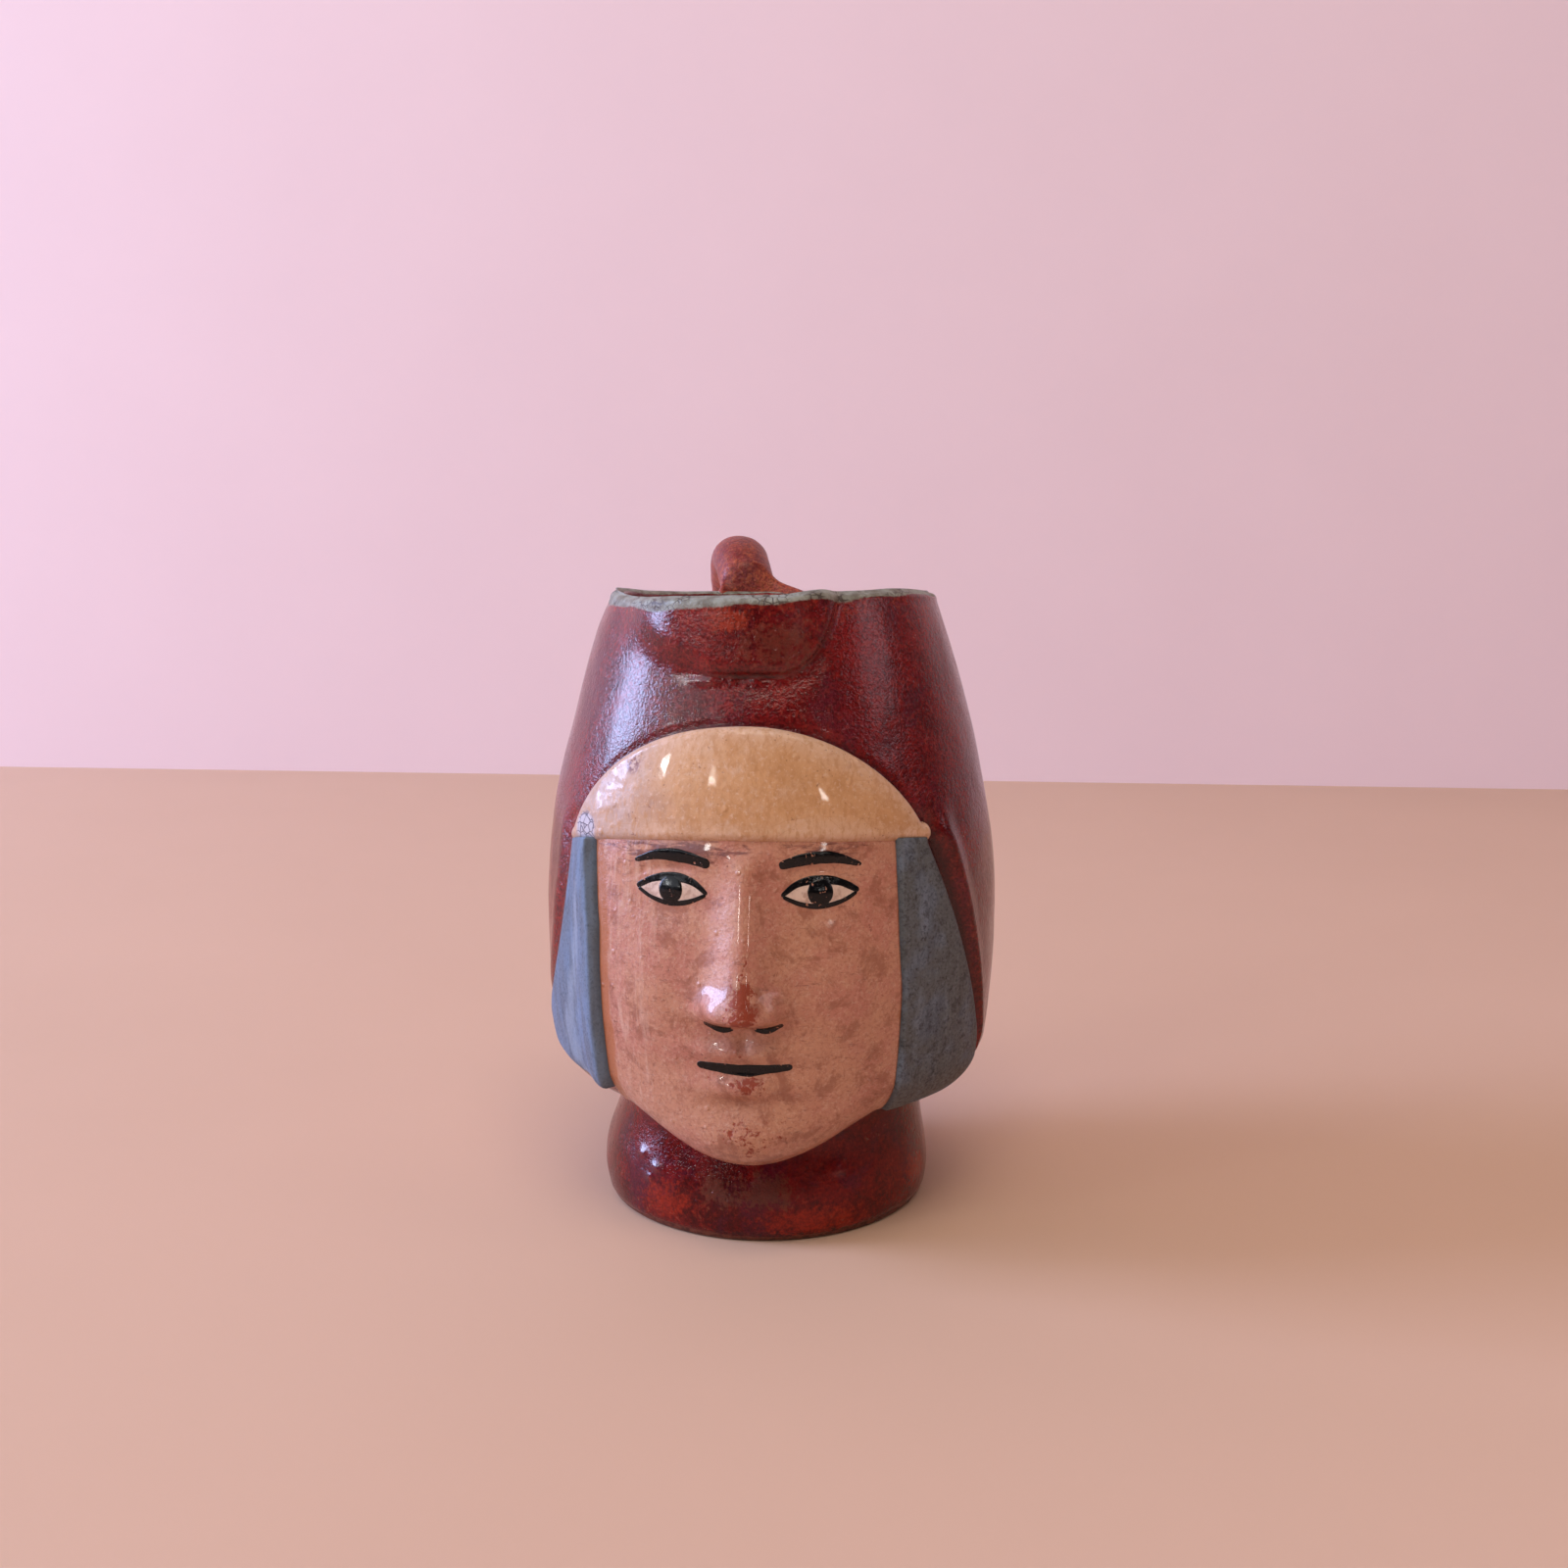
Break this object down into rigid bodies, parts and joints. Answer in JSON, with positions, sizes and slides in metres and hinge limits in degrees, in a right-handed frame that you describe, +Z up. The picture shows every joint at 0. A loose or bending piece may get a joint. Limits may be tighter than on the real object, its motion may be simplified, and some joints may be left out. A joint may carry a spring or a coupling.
{
  "type": "miniature pitcher",
  "caption": "Small glazed earthenware pitcher shaped as a hooded head on a flared foot, with a pouring lip at the front of the rim and a coil loop handle at the back.",
  "frame": {"origin": "middle of the foot's flat base, on the surface that the pitcher stands on", "axes": "+Z up, the face looks along -Y, the handle is on the +Y side"},
  "size_m": [0.0552, 0.0746, 0.0813],
  "materials": {
    "red_glaze": "glossy mottled glaze",
    "cap_glaze": "glossy crackled glaze",
    "flesh_glaze": "satin glaze with painted lines",
    "hair_glaze": "matt speckled glaze",
    "bare_clay": "unglazed"
  },
  "bodies": {
    "root": {"front_wall": "red_glaze", "back_wall": "red_glaze", "pouring_lip": "red_glaze", "face_mask": "flesh_glaze", "cap_band": "cap_glaze", "hair_lock_left": "hair_glaze", "hair_lock_right": "hair_glaze", "hood_edge_left": "red_glaze", "hood_edge_right": "red_glaze", "foot_collar": "red_glaze", "floor_disc": "bare_clay", "handle": "red_glaze", "handle_upper_wad": "red_glaze", "handle_lower_wad": "red_glaze"}
  },
  "joints": []
}
